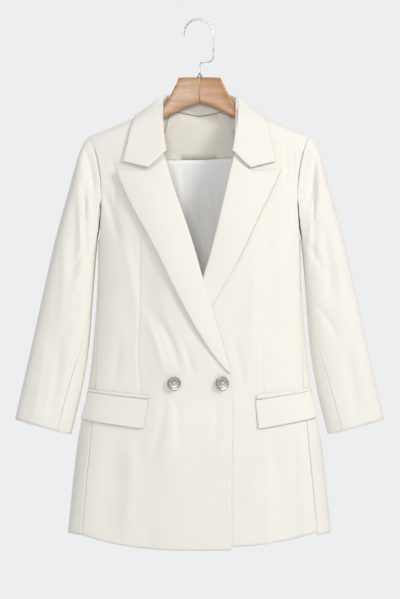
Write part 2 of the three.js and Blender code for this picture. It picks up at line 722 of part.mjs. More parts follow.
function settingGeometry() {
  return lathe([
    [0, -1.9], [3.2, -1.9], [3.2, 1.2], [BUTTON_RADIUS - 2, 1.6], [BUTTON_RADIUS, 3],
    [BUTTON_RADIUS, 4.2], [BUTTON_RADIUS - 2.6, 5], [BUTTON_RADIUS - 5, 3.4], [0, 3.4],
  ], 20);
}

function stoneGeometry() {
  return lathe([[0, 3.7], [STONE_RADIUS, 3.7], [STONE_RADIUS, 4.6], [STONE_RADIUS * 0.6, 6.2], [0, 6.4]], 12);
}

// Hanger: two glued wooden arms, a ferrule and a steel hook
const HOOK_WIRE = 1.7;
const HOOK_RADIUS = 25.9;
const HANGER_HALF = 6;
const HANGER_UNDER = 2.3;  // top of the arm under the outside of the shoulder seam
const HANGER = [
  // x, level of the top edge, or none where it lies under the shoulder, and of the lower edge
  { x: 0.15, top: -99.6, low: -146 },
  { x: 12, top: -99.6, low: -149.5 },
  { x: 24, top: -99.6, low: -153.2 },
  { x: 36.5, top: -100.2, low: -160 },
  { x: 43, top: -114.5, low: -163.2 },
  { x: 52, top: -131.5, low: -168 },
  { x: 60, top: -144.8, low: -172.2 },
  { x: 66, top: -153, low: -175 },
  { x: 73, low: -178.2 },
  { x: 84, low: -183 },
  { x: 100, low: -190 },
  { x: 120, low: -198.6 },
  { x: 140, low: -207 },
  { x: 160, low: -215 },
  { x: 175, low: -220.5 },
  { x: 180, top: -203.5, low: -219 },
];
const HANGER_SECTION = [
  // share of the half thickness, and how far below the top or above the lower edge
  { y: 0, from: 'top', in: 0 },
  { y: 0.6, from: 'top', in: 1.2 },
  { y: 1, from: 'top', in: 4.6 },
  { y: 1, from: 'low', in: 3 },
  { y: 0.6, from: 'low', in: 0.8 },
  { y: -0.6, from: 'low', in: 0.8 },
  { y: -1, from: 'low', in: 3 },
  { y: -1, from: 'top', in: 4.6 },
  { y: -0.6, from: 'top', in: 1.2 },
];

function hangerArm(side) {
  const outer = HANGER.map((row) => HANGER_SECTION.map((point) => {
    const top = row.top ?? shoulderZ(row.x) - HANGER_UNDER;
    const z = point.from === 'top' ? top - point.in : row.low + point.in;
    return new THREE.Vector3(side * row.x, point.y * HANGER_HALF, z);
  }));
  return cappedTube(outer);
}

// A closed body from section rings, with a flat cap at each end
function cappedTube(rings) {
  const positions = [];
  const count = rings[0].length;
  for (const ring of rings) {
    for (const p of ring) positions.push(p.x, p.y, p.z);
  }
  const index = [];
  for (let i = 0; i < rings.length - 1; i += 1) {
    for (let j = 0; j < count; j += 1) {
      const k = (j + 1) % count;
      const a = i * count;
      index.push(a + j, a + k, a + count + k, a + j, a + count + k, a + count + j);
    }
  }
  const last = (rings.length - 1) * count;
  for (let j = 1; j < count - 1; j += 1) {
    index.push(0, j + 1, j, last, last + j, last + j + 1);
  }
  const geometry = new THREE.BufferGeometry();
  geometry.setAttribute('position', new THREE.Float32BufferAttribute(positions, 3));
  geometry.setIndex(signedVolume(positions, index) < 0 ? flipped(index) : index);
  geometry.computeVertexNormals();
  return geometry;
}

function hookGeometry() {
  const centreX = -1.6;
  const centreZ = HOOK_WIRE - HOOK_RADIUS - HOOK_WIRE;
  const points = [];
  for (let degrees = 184; degrees >= 0; degrees -= 12) {
    const angle = radians(degrees);
    points.push(new THREE.Vector3(
      centreX + HOOK_RADIUS * Math.cos(angle), 0, centreZ + HOOK_WIRE + HOOK_RADIUS * Math.sin(angle),
    ));
  }
  const straightX = centreX + HOOK_RADIUS - 0.4;
  for (const z of [-38, -52, -64]) points.push(new THREE.Vector3(straightX, 0, z));
  points.push(new THREE.Vector3(straightX - 1.6, 0, -70));
  points.push(new THREE.Vector3(straightX - 6, 0, -72.6));
  for (const x of [14, 8]) points.push(new THREE.Vector3(x, 0, -72.8));
  points.push(new THREE.Vector3(2.2, 0, -74.6));
  points.push(new THREE.Vector3(0, 0, -80));
  points.push(new THREE.Vector3(0, 0, -93.2));
  const curve = new THREE.CatmullRomCurve3(points, false, 'centripetal');
  const section = new THREE.Shape();
  section.absarc(0, 0, HOOK_WIRE, 0, Math.PI * 2);
  return new THREE.ExtrudeGeometry(section, {
    steps: 40, curveSegments: 4, bevelEnabled: false, extrudePath: curve,
  });
}

function ferruleGeometry() {
  const geometry = new THREE.LatheGeometry([
    [0, -99.3], [5.2, -99.3], [5.2, -97.4], [3.2, -95.6], [2.6, -93.6], [0, -93.6],
  ].map(([r, h]) => new THREE.Vector2(r, h)), 16);
  geometry.rotateX(Math.PI / 2);
  return geometry;
}

// Finishes
const FINISH = {
  cloth: { color: 0xe9e7dd, roughness: 0.86, metalness: 0 },
  lining: { color: 0xe6e2da, roughness: 0.55, metalness: 0 },
  facing: { color: 0xe3d9c3, roughness: 0.8, metalness: 0 },
  wood: { color: 0xd6a774, roughness: 0.5, metalness: 0 },
  steel: { color: 0xb9bbbd, roughness: 0.25, metalness: 1 },
  setting: { color: 0xc4c2bd, roughness: 0.3, metalness: 1 },
  crystal: { color: 0xdfe5ea, roughness: 0.06, metalness: 0.1 },
};

const group = new THREE.Group();

function add(name, geometry, finish, place) {
  const mesh = new THREE.Mesh(geometry, new THREE.MeshStandardMaterial(FINISH[finish]));
  mesh.name = name;
  if (place) mesh.position.copy(place);
  group.add(mesh);
}

add('front_right', shellPanel(16, 23, RIGHT, upperEdgeX, frontRightOut, FRONT, 0), 'cloth');
add('front_left', shellPanel(16, 23, LEFT, lowerEdgeX, frontLeftOut, FRONT, 5), 'cloth');
add('back_right', backPanel(RIGHT), 'cloth');
add('back_left', backPanel(LEFT), 'cloth');
add('side_right', sidePanel(RIGHT), 'cloth');
add('side_left', sidePanel(LEFT), 'cloth');
add('lapel_right', lapelPanel(RIGHT, ROLL_UPPER, EDGE_UPPER, frontRightOut, upperStandoff), 'cloth');
add('lapel_left', lapelPanel(LEFT, ROLL_LOWER, EDGE_LOWER, frontLeftOut, lowerStandoff), 'cloth');
add('collar', collarPanel(), 'cloth');
add('neck_facing', neckFacing(), 'facing');
add('back_lining', backLining(), 'lining');
const sides = [
  { name: 'right', side: RIGHT, folds: SLEEVE_FOLDS_RIGHT, outAt: frontRightOut },
  { name: 'left', side: LEFT, folds: SLEEVE_FOLDS_LEFT, outAt: frontLeftOut },
];
for (const { name, side, folds, outAt } of sides) {
  const top = sleevePiece(side, folds, 12, hindAngle, forearmAngle);
  const under = sleevePiece(side, folds, 8, forearmAngle, hindAngleRound);
  add(`sleeve_top_${name}`, top, 'cloth');
  add(`sleeve_under_${name}`, under, 'cloth');
  const pocket = POCKETS[name];
  add(`welt_${name}`, pocketPiece(pocket.welt, 8, 1, outAt, () => 0.6), 'cloth');
  add(`flap_${name}`, pocketPiece(pocket.flap, 8, 4, outAt, (u, v) => 1.8 * v ** 1.5), 'cloth');
}
for (const { name, x } of BUTTONS) {
  const place = new THREE.Vector3(x, -(frontRightOut(x, BUTTON_Z) + 1.9), BUTTON_Z);
  add(name, settingGeometry(), 'setting', place);
  add(`${name}_stone`, stoneGeometry(), 'crystal', place);
}
add('hanger_arm_right', hangerArm(RIGHT), 'wood');
add('hanger_arm_left', hangerArm(LEFT), 'wood');
add('hanger_ferrule', ferruleGeometry(), 'steel');
add('hanger_hook', hookGeometry(), 'steel');

export default group;
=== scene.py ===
"""A double breasted blazer on a wooden hanger: the looks, in metres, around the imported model."""
import math
import random

import bmesh
import bpy
import numpy as np
from mathutils import Matrix, Vector, kdtree


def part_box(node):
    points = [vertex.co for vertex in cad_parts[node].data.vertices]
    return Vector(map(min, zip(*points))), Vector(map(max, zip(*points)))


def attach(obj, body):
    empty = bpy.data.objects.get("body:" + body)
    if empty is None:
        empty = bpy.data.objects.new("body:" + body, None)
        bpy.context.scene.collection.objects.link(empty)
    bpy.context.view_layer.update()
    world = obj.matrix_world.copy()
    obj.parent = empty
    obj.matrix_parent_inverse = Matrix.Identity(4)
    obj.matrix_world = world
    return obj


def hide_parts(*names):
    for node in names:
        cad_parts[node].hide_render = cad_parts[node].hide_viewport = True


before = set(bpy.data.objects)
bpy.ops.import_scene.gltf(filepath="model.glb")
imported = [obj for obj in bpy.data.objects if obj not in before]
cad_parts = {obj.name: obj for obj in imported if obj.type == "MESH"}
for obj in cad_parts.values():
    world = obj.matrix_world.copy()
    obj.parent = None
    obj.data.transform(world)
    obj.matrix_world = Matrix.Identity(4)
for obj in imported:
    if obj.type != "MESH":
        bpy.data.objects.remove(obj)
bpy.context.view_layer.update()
MM = 0.001
rng = random.Random(7)

# Camera: level with the middle of the garment, straight in front of it
CAMERA_PLACE = (0.001, -3.0, -0.4885)
CAMERA_LENS = 103.1
IMAGE_LONG_SIDE = 36.0


def make_camera():
    data = bpy.data.cameras.new("camera")
    data.lens = CAMERA_LENS
    data.sensor_width = IMAGE_LONG_SIDE
    camera = bpy.data.objects.new("camera", data)
    camera.location = CAMERA_PLACE
    camera.rotation_euler = (math.radians(90), 0, 0)
    bpy.context.collection.objects.link(camera)
    bpy.context.scene.camera = camera


make_camera()


# Folds, in millimetres in front view: two ends, half width and depth, plus for a ridge
FRONT_FOLDS = [
    {"x1": -70, "z1": -521, "x2": -34, "z2": -606, "half": 7, "deep": -2.2},
    {"x1": -92, "z1": -518, "x2": -58, "z2": -620, "half": 7, "deep": 1.4},
    {"x1": -30, "z1": -560, "x2": -12, "z2": -618, "half": 6, "deep": -1.3},
    {"x1": -57, "z1": -648, "x2": -80, "z2": -760, "half": 9, "deep": -1.6},
    {"x1": -42, "z1": -655, "x2": -36, "z2": -742, "half": 7, "deep": -1.2},
    {"x1": 30, "z1": -655, "x2": 22, "z2": -760, "half": 8, "deep": -1.1},
    {"x1": -152, "z1": -240, "x2": -146, "z2": -330, "half": 5, "deep": -1.2},
    {"x1": -166, "z1": -300, "x2": -140, "z2": -388, "half": 7, "deep": -1.8},
    {"x1": -128, "z1": -400, "x2": -112, "z2": -500, "half": 8, "deep": 1.2},
    {"x1": -140, "z1": -560, "x2": -150, "z2": -640, "half": 8, "deep": -1.2},
    {"x1": -120, "z1": -730, "x2": -128, "z2": -900, "half": 13, "deep": 1.6},
    {"x1": 148, "z1": -222, "x2": 150, "z2": -285, "half": 4, "deep": -1.1},
    {"x1": 160, "z1": -227, "x2": 160, "z2": -290, "half": 4, "deep": -1.1},
    {"x1": 166, "z1": -305, "x2": 138, "z2": -392, "half": 7, "deep": -1.8},
    {"x1": 96, "z1": -440, "x2": 86, "z2": -560, "half": 7, "deep": 1.6},
    {"x1": 128, "z1": -440, "x2": 120, "z2": -560, "half": 8, "deep": -1.3},
    {"x1": 60, "z1": -560, "x2": 74, "z2": -640, "half": 7, "deep": -1.4},
    {"x1": 112, "z1": -730, "x2": 118, "z2": -905, "half": 11, "deep": 1.5},
    {"x1": 160, "z1": -720, "x2": 168, "z2": -900, "half": 10, "deep": -1.5},
]
BACK_FOLDS = [
    {"x1": -150, "z1": -250, "x2": -96, "z2": -360, "half": 9, "deep": -2},
    {"x1": 152, "z1": -255, "x2": 92, "z2": -372, "half": 10, "deep": -2.2},
    {"x1": -60, "z1": -470, "x2": -74, "z2": -620, "half": 12, "deep": -2},
    {"x1": 44, "z1": -500, "x2": 66, "z2": -660, "half": 12, "deep": -2.2},
    {"x1": -36, "z1": -700, "x2": -48, "z2": -905, "half": 16, "deep": 2},
    {"x1": 70, "z1": -720, "x2": 84, "z2": -908, "half": 14, "deep": 1.8},
    {"x1": -170, "z1": -620, "x2": -180, "z2": -880, "half": 14, "deep": -2},
]
SLEEVE_FOLDS = [
    {"x1": -200, "z1": -224, "x2": -184, "z2": -300, "half": 5, "deep": -2.4},
    {"x1": -206, "z1": -250, "x2": -190, "z2": -352, "half": 6, "deep": 1.6},
    {"x1": -216, "z1": -320, "x2": -221, "z2": -468, "half": 8, "deep": -2},
    {"x1": -236, "z1": -380, "x2": -240, "z2": -520, "half": 8, "deep": 1.6},
    {"x1": -190, "z1": -384, "x2": -216, "z2": -430, "half": 6, "deep": -2},
    {"x1": -200, "z1": -440, "x2": -222, "z2": -500, "half": 6, "deep": -1.5},
    {"x1": -206, "z1": -500, "x2": -246, "z2": -560, "half": 8, "deep": -1.6},
    {"x1": -241, "z1": -565, "x2": -262, "z2": -705, "half": 9, "deep": -1.8},
    {"x1": -268, "z1": -560, "x2": -292, "z2": -700, "half": 9, "deep": 1.5},
    {"x1": 203, "z1": -230, "x2": 186, "z2": -330, "half": 5, "deep": -2.6},
    {"x1": 212, "z1": -260, "x2": 196, "z2": -366, "half": 6, "deep": 1.5},
    {"x1": 214, "z1": -363, "x2": 228, "z2": -486, "half": 8, "deep": -2},
    {"x1": 240, "z1": -400, "x2": 250, "z2": -520, "half": 8, "deep": 1.4},
    {"x1": 188, "z1": -392, "x2": 212, "z2": -440, "half": 6, "deep": -1.8},
    {"x1": 204, "z1": -500, "x2": 240, "z2": -556, "half": 7, "deep": -1.5},
    {"x1": 255, "z1": -573, "x2": 272, "z2": -696, "half": 9, "deep": -1.8},
    {"x1": 282, "z1": -570, "x2": 298, "z2": -690, "half": 8, "deep": 1.3},
]
LINING_FOLDS = [
    {"x1": -6, "z1": -262, "x2": -10, "z2": -470, "half": 3.5, "deep": 2.6},
    {"x1": 14, "z1": -275, "x2": 26, "z2": -430, "half": 5, "deep": 1.5},
    {"x1": -40, "z1": -262, "x2": -26, "z2": -440, "half": 6, "deep": 1.8},
    {"x1": 44, "z1": -300, "x2": 36, "z2": -560, "half": 7, "deep": 1.4},
]
# Darts: sewn lines from under the bust to the pocket, in front view
DARTS = [
    [(-103, -367), (-104, -521), (-107, -579), (-101, -655)],
    [(106, -360), (107, -521), (109, -655)],
]
DART_HALF = 2.2
DART_DEEP = -1.0


def ease(value):
    value = np.clip(value, 0, 1)
    return value * value * (3 - 2 * value)


def fold_field(folds, x, z):
    """The height of the folds over points given in millimetres."""
    height = np.zeros_like(x)
    for fold in folds:
        dx = fold["x2"] - fold["x1"]
        dz = fold["z2"] - fold["z1"]
        size = math.hypot(dx, dz)
        along = ((x - fold["x1"]) * dx + (z - fold["z1"]) * dz) / size ** 2
        bow = 3.0 * np.sin(np.pi * along)
        across = ((x - fold["x1"]) * dz - (z - fold["z1"]) * dx) / size + bow
        ends = ease((along + 0.15) / 0.4) * ease((1.15 - along) / 0.4)
        height += FOLD_SHARE * fold["deep"] * ends * np.exp(-(across / fold["half"]) ** 2)
    return height


def dart_field(x, z):
    height = np.zeros_like(x)
    for dart in DARTS:
        for (x1, z1), (x2, z2) in zip(dart, dart[1:]):
            inside = (z <= z1) & (z > z2)
            line = x1 + (x2 - x1) * (z - z1) / (z2 - z1)
            fade = ease((dart[0][1] - z) / 30)
            height += inside * fade * DART_DEEP * np.exp(-((x - line) / DART_HALF) ** 2)
    return height


def ripple(x, z, seed):
    """The slight unevenness of hung cloth."""
    wave = np.sin(x * 0.055 + 1.3 * np.sin(z * 0.011 + seed)) * np.sin(z * 0.017 + seed * 2.1)
    fine = np.sin(x * 0.13 + z * 0.021 + seed) * np.sin(z * 0.041 - x * 0.03 + seed)
    return 0.45 * wave + 0.2 * fine


def points_of(mesh):
    places = np.empty(len(mesh.vertices) * 3)
    mesh.vertices.foreach_get("co", places)
    return places.reshape(-1, 3)


def front_way(p):
    x, y, z = p.T / MM
    height = fold_field(FRONT_FOLDS, x, z) + dart_field(x, z) + ripple(x, z, 0.4)
    top = ease((-175 - z + 0.2 * np.abs(x)) / 40)
    return np.stack([0 * x, -height * top, 0 * x], 1) * MM


def front_cover_way(p):
    x, y, z = p.T / MM
    height = fold_field(FRONT_FOLDS, x, z) + ripple(x, z, 0.4)
    top = ease((-175 - z + 0.2 * np.abs(x)) / 40)
    return np.stack([0 * x, -height * top, 0 * x], 1) * MM


def back_way(p):
    x, y, z = p.T / MM
    height = fold_field(BACK_FOLDS, x, z) + ripple(x, z, 2.2)
    top = ease((-195 - z) / 40)
    return np.stack([0 * x, height * top, 0 * x], 1) * MM


def side_way(p):
    x, y, z = p.T / MM
    return front_cover_way(p) * (y < 0)[:, None] + back_way(p) * (y >= 0)[:, None]


def sleeve_way(p):
    x, y, z = p.T / MM
    height = fold_field(SLEEVE_FOLDS, x, z) + 1.4 * ripple(x, z, 1.7)
    rounding = np.clip(y / 26, -1, 1)
    top = ease((-206 - z) / 22)
    return np.stack([0 * x, height * rounding * top, 0 * x], 1) * MM


def lining_way(p):
    x, y, z = p.T / MM
    height = fold_field(LINING_FOLDS, x, z)
    return np.stack([0 * x, -height, 0 * x], 1) * MM


def still(p):
    return np.zeros_like(p)


# Cloth pieces: a merged copy of the solid, made smooth, then creased
RIM_ANGLE = math.radians(48)
SHARP_ANGLE = math.radians(60)
EDGE_STRIP = 1.0 * MM
MERGE_GAP = 0.002 * MM
SEAM_REACH = 2.6 * MM
SEAM_DEEP = 0.42 * MM
CLOSE_GAP = 0.19 * MM
FOLD_SHARE = 1.35


def merged_copy(node):
    bm = bmesh.new()
    bm.from_mesh(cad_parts[node].data)
    bmesh.ops.remove_doubles(bm, verts=bm.verts, dist=MERGE_GAP)
    bmesh.ops.join_triangles(
        bm, faces=bm.faces, angle_face_threshold=math.radians(35), angle_shape_threshold=math.radians(75)
    )
    return bm


def finished_mesh(name, bm, levels):
    """The bmesh as a mesh, subdivided with its creases and left without modifiers."""
    rough = bpy.data.meshes.new(name + "_rough")
    bm.to_mesh(rough)
    bm.free()
    holder = bpy.data.objects.new(name + "_rough", rough)
    bpy.context.collection.objects.link(holder)
    smoother = holder.modifiers.new("smooth", "SUBSURF")
    smoother.levels = levels
    smoother.render_levels = levels
    bpy.context.view_layer.update()
    graph = bpy.context.evaluated_depsgraph_get()
    mesh = bpy.data.meshes.new_from_object(holder.evaluated_get(graph))
    bpy.data.objects.remove(holder)
    bpy.data.meshes.remove(rough)
    mesh.name = name
    return mesh


def soften_edges(mesh, rim_points, reach, deep):
    """Thins the cloth a little beside its edges and closes part of the gap at its seams."""
    tree = kdtree.KDTree(len(rim_points))
    for i, point in enumerate(rim_points):
        tree.insert(point, i)
    tree.balance()
    places = points_of(mesh)
    normals = np.empty(len(mesh.vertices) * 3)
    mesh.vertex_normals.foreach_get("vector", normals)
    normals = normals.reshape(-1, 3)
    distance = np.array([tree.find(place)[2] for place in places])
    flat_part = np.flatnonzero(distance > EDGE_STRIP)
    inner = kdtree.KDTree(len(flat_part))
    for i in flat_part:
        inner.insert(places[i], int(i))
    inner.balance()
    facing = normals.copy()
    for i in np.flatnonzero(distance <= EDGE_STRIP):
        facing[i] = normals[inner.find(places[i])[1]]
    outward = normals - facing * np.sum(normals * facing, 1)[:, None]
    places -= facing * (deep * np.exp(-(distance / reach) ** 2))[:, None]
    places += outward * (CLOSE_GAP * np.exp(-(distance / MM) ** 2))[:, None]
    mesh.vertices.foreach_set("co", places.ravel())


def rim_edges(bm, angle):
    return [e for e in bm.edges if e.is_manifold and e.calc_face_angle(0) > angle]


def add_object(name, mesh, material, slot, *nodes):
    piece = bpy.data.objects.new(name, mesh)
    bpy.context.collection.objects.link(piece)
    mesh.materials.clear()
    mesh.materials.append(material)
    for polygon in mesh.polygons:
        polygon.use_smooth = True
    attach(piece, "root")
    if nodes:
        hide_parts(*nodes)
    return piece


def cloth_piece(node, levels, way, material, slot):
    bm = merged_copy(node)
    crease = bm.edges.layers.float.new("crease_edge")
    for edge in rim_edges(bm, RIM_ANGLE):
        edge[crease] = 1.0
    mesh = finished_mesh(node + "_cloth", bm, levels)
    look = bmesh.new()
    look.from_mesh(mesh)
    rim = [e.verts[0].co.copy() for e in rim_edges(look, RIM_ANGLE)]
    look.free()
    places = points_of(mesh)
    places = places + way(places)
    mesh.vertices.foreach_set("co", places.ravel())
    mesh.update()
    if rim:
        soften_edges(mesh, rim, SEAM_REACH, SEAM_DEEP)
    mesh.update()
    piece = add_object(node + "_cloth", mesh, material, slot, node)
    mesh.set_sharp_from_angle(angle=SHARP_ANGLE)
    return piece


def hard_piece(node, levels, crease_angle, crease_share, material, slot):
    bm = merged_copy(node)
    crease = bm.edges.layers.float.new("crease_edge")
    for edge in rim_edges(bm, crease_angle):
        edge[crease] = crease_share
    mesh = finished_mesh(node + "_made", bm, levels)
    return add_object(node + "_made", mesh, material, slot, node)


# Shader groups
def new_group(name, inputs, outputs):
    group = bpy.data.node_groups.new(name, "ShaderNodeTree")
    for label, kind, value in inputs:
        socket = group.interface.new_socket(label, in_out="INPUT", socket_type=kind)
        socket.default_value = value
    for label, kind in outputs:
        group.interface.new_socket(label, in_out="OUTPUT", socket_type=kind)
    start = group.nodes.new("NodeGroupInput")
    end = group.nodes.new("NodeGroupOutput")
    return group, start, end


def math_node(tree, operation, a, b):
    node = tree.nodes.new("ShaderNodeMath")
    node.operation = operation
    for socket, value in zip(node.inputs, (a, b)):
        if isinstance(value, (int, float)):
            socket.default_value = value
        else:
            tree.links.new(value, socket)
    return node.outputs[0]


def mix_colour(tree, share, low, high):
    node = tree.nodes.new("ShaderNodeMix")
    node.data_type = "RGBA"
    tree.links.new(share, node.inputs[0])
    for socket, value in zip((node.inputs[6], node.inputs[7]), (low, high)):
        if isinstance(value, tuple):
            socket.default_value = value
        else:
            tree.links.new(value, socket)
    return node.outputs[2]


THREAD_WAVE = 6.283
SLUB_SCALE = 900
BLOTCH_SCALE = 14
BLOTCH_SHARE = 0.55
SLUB_SHARE = 0.4


def weave_group():
    """Fine warp and weft threads with slubs, and soft blotches in the colour."""
    group, start, end = new_group(
        "woven_suiting",
        [
            ("Thread", "NodeSocketColor", (0.8, 0.8, 0.75, 1)),
            ("Shade", "NodeSocketColor", (0.7, 0.68, 0.6, 1)),
            ("Threads per metre", "NodeSocketFloat", 1500.0),
            ("Slub", "NodeSocketFloat", 0.5),
        ],
        [("Color", "NodeSocketColor"), ("Height", "NodeSocketFloat"), ("Roughness", "NodeSocketFloat")],
    )
    place = group.nodes.new("ShaderNodeTexCoord")
    apart = group.nodes.new("ShaderNodeSeparateXYZ")
    group.links.new(place.outputs["Object"], apart.inputs[0])
    count = start.outputs["Threads per metre"]
    across = math_node(group, "ADD", apart.outputs[0], math_node(group, "MULTIPLY", apart.outputs[1], 0.6))
    pitch = math_node(group, "MULTIPLY", count, THREAD_WAVE)
    warp = math_node(group, "SINE", math_node(group, "MULTIPLY", across, pitch), 0)
    down = math_node(group, "ADD", apart.outputs[2], math_node(group, "MULTIPLY", apart.outputs[0], 0.35))
    weft = math_node(group, "SINE", math_node(group, "MULTIPLY", down, pitch), 0)
    cross = math_node(group, "MULTIPLY", warp, weft)
    slub = group.nodes.new("ShaderNodeTexNoise")
    slub.inputs["Scale"].default_value = SLUB_SCALE
    slub.inputs["Detail"].default_value = 4
    group.links.new(place.outputs["Object"], slub.inputs["Vector"])
    blotch = group.nodes.new("ShaderNodeTexNoise")
    blotch.inputs["Scale"].default_value = BLOTCH_SCALE
    blotch.inputs["Detail"].default_value = 5
    group.links.new(place.outputs["Object"], blotch.inputs["Vector"])
    slubs = math_node(group, "MULTIPLY", slub.outputs[0], start.outputs["Slub"])
    height = math_node(group, "ADD", math_node(group, "MULTIPLY", cross, 0.25), slubs)
    blotches = math_node(group, "MULTIPLY", blotch.outputs[0], BLOTCH_SHARE)
    tint = math_node(group, "ADD", blotches, math_node(group, "MULTIPLY", slubs, SLUB_SHARE))
    colour = mix_colour(group, tint, start.outputs["Thread"], start.outputs["Shade"])
    rough = math_node(group, "ADD", math_node(group, "MULTIPLY", slub.outputs[0], 0.14), 0.76)
    group.links.new(colour, end.inputs["Color"])
    group.links.new(height, end.inputs["Height"])
    group.links.new(rough, end.inputs["Roughness"])
    return group


WEAVE = weave_group()


def new_material(name):
    material = bpy.data.materials.new(name)
    material.use_nodes = True
    tree = material.node_tree
    shader = next(n for n in tree.nodes if n.type == "BSDF_PRINCIPLED")
    return material, tree, shader


def bump_into(tree, shader, height, distance, strength=1.0):
    bump = tree.nodes.new("ShaderNodeBump")
    bump.inputs["Distance"].default_value = distance
    bump.inputs["Strength"].default_value = strength
    tree.links.new(height, bump.inputs["Height"])
    tree.links.new(bump.outputs[0], shader.inputs["Normal"])


def woven(name, thread, shade, threads, slub, sheen, depth):
    material, tree, shader = new_material(name)
    weave = tree.nodes.new("ShaderNodeGroup")
    weave.node_tree = WEAVE
    weave.inputs["Thread"].default_value = (*thread, 1)
    weave.inputs["Shade"].default_value = (*shade, 1)
    weave.inputs["Threads per metre"].default_value = threads
    weave.inputs["Slub"].default_value = slub
    tree.links.new(weave.outputs["Color"], shader.inputs["Base Color"])
    tree.links.new(weave.outputs["Roughness"], shader.inputs["Roughness"])
    shader.inputs["Sheen Weight"].default_value = sheen
    shader.inputs["Sheen Roughness"].default_value = 0.45
    shader.inputs["Sheen Tint"].default_value = (1, 0.98, 0.94, 1)
    shader.inputs["Specular IOR Level"].default_value = 0.28
    bump_into(tree, shader, weave.outputs["Height"], depth)
    return material


CLOTH = woven("ivory_suiting", (0.87, 0.85, 0.79), (0.81, 0.78, 0.70), 1300, 0.9, 0.18, 0.00025)
FACING = woven("cream_facing", (0.85, 0.82, 0.74), (0.79, 0.75, 0.65), 1300, 0.9, 0.12, 0.00025)
LINING = woven("white_lining", (0.96, 0.955, 0.94), (0.92, 0.91, 0.89), 2600, 0.35, 0.4, 0.00012)


def wood(name, light, dark, seed):
    """Straight grain along the arm, with darker late rings and fine pores."""
    material, tree, shader = new_material(name)
    place = tree.nodes.new("ShaderNodeTexCoord")
    turn = tree.nodes.new("ShaderNodeMapping")
    turn.inputs["Location"].default_value = (seed, seed * 0.3, 0)
    turn.inputs["Rotation"].default_value = (0, math.radians(23 if seed > 1 else -23), 0)
    turn.inputs["Scale"].default_value = (9, 60, 90)
    tree.links.new(place.outputs["Object"], turn.inputs["Vector"])
    rings = tree.nodes.new("ShaderNodeTexNoise")
    rings.inputs["Scale"].default_value = 1.4
    rings.inputs["Detail"].default_value = 5
    rings.inputs["Distortion"].default_value = 0.6
    tree.links.new(turn.outputs[0], rings.inputs["Vector"])
    pores = tree.nodes.new("ShaderNodeTexNoise")
    pores.inputs["Scale"].default_value = 14
    pores.inputs["Detail"].default_value = 3
    tree.links.new(turn.outputs[0], pores.inputs["Vector"])
    share = tree.nodes.new("ShaderNodeMapRange")
    share.inputs["From Min"].default_value = 0.36
    share.inputs["From Max"].default_value = 0.66
    tree.links.new(rings.outputs[0], share.inputs["Value"])
    colour = mix_colour(tree, share.outputs[0], (*light, 1), (*dark, 1))
    tree.links.new(colour, shader.inputs["Base Color"])
    rough = math_node(tree, "ADD", math_node(tree, "MULTIPLY", pores.outputs[0], 0.2), 0.3)
    tree.links.new(rough, shader.inputs["Roughness"])
    shader.inputs["Coat Weight"].default_value = 0.35
    shader.inputs["Coat Roughness"].default_value = 0.22
    bump_into(tree, shader, pores.outputs[0], 0.0002)
    return material


# One wood for both hanger arms: the lighter copy is painted light and the darker copy painted shade, for arm
# faces turned towards and away from the key light
WOOD_PAINTED_LIT = wood("wood_painted_lit", (0.52, 0.30, 0.155), (0.38, 0.205, 0.095), 0.4)
WOOD_PAINTED_SHADE = wood("wood_painted_shade", (0.47, 0.225, 0.09), (0.33, 0.14, 0.048), 3.1)


def metal(name, colour, smooth, rough, scale):
    material, tree, shader = new_material(name)
    place = tree.nodes.new("ShaderNodeTexCoord")
    noise = tree.nodes.new("ShaderNodeTexNoise")
    noise.inputs["Scale"].default_value = scale
    noise.inputs["Detail"].default_value = 6
    tree.links.new(place.outputs["Object"], noise.inputs["Vector"])
    shader.inputs["Metallic"].default_value = 1.0
    low = (*colour, 1)
    high = tuple(c * 0.86 for c in colour) + (1,)
    tree.links.new(mix_colour(tree, noise.outputs[0], low, high), shader.inputs["Base Color"])
    spread = math_node(tree, "ADD", math_node(tree, "MULTIPLY", noise.outputs[0], rough - smooth), smooth)
    tree.links.new(spread, shader.inputs["Roughness"])
    bump_into(tree, shader, noise.outputs[0], 0.00003)
    return material


STEEL = metal("plated_steel", (0.62, 0.62, 0.62), 0.1, 0.26, 220)
SETTING = metal("silver_setting", (0.52, 0.51, 0.48), 0.12, 0.34, 700)


def crystal():
    material, tree, shader = new_material("cut_crystal")
    place = tree.nodes.new("ShaderNodeTexCoord")
    noise = tree.nodes.new("ShaderNodeTexNoise")
    noise.inputs["Scale"].default_value = 380
    tree.links.new(place.outputs["Object"], noise.inputs["Vector"])
    # Stone colour mottled by noise between near white and dark grey: painted reflections standing for the
    # flashes of the cut facets
    colour = mix_colour(tree, noise.outputs[0], (0.90, 0.92, 0.94, 1), (0.42, 0.45, 0.50, 1))
    tree.links.new(colour, shader.inputs["Base Color"])
    shader.inputs["Roughness"].default_value = 0.04
    shader.inputs["IOR"].default_value = 1.75
    shader.inputs["Metallic"].default_value = 0.35
    shader.inputs["Coat Weight"].default_value = 1.0
    shader.inputs["Coat Roughness"].default_value = 0.02
    return material


CRYSTAL = crystal()


